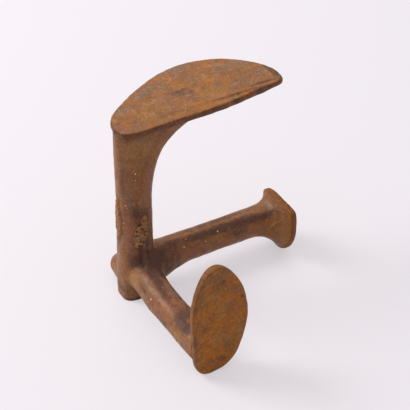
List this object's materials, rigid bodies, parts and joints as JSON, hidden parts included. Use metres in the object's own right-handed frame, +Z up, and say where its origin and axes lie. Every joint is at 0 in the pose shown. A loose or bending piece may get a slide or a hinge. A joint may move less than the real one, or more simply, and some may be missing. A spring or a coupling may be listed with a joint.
{
  "type": "cobbler anvil",
  "caption": "Three-footed iron shoe anvil: a post with a half-moon sole on top, a heel plate on one leg and a small upright sole on the other.",
  "frame": {"origin": "on the floor under the middle of the post, on the flat of the foot", "axes": "+Z up the post to the large sole's face, +X along the heel leg, -Y along the small sole's leg"},
  "size_m": [0.2032, 0.2283, 0.22],
  "materials": {
    "worn_face": "rusted, orange-brown, matt, worn smoother on the working faces",
    "rusted_casting": "rusted, dark brown with purple-grey patches, satin"
  },
  "bodies": {
    "root": {"large_sole_plate": "worn_face", "small_sole_plate": "worn_face", "heel_plate": "worn_face", "upright_post": "rusted_casting", "centre_hub": "rusted_casting", "foot": "rusted_casting", "heel_leg": "rusted_casting", "small_sole_leg": "rusted_casting", "rear_spur": "rusted_casting"}
  },
  "joints": []
}
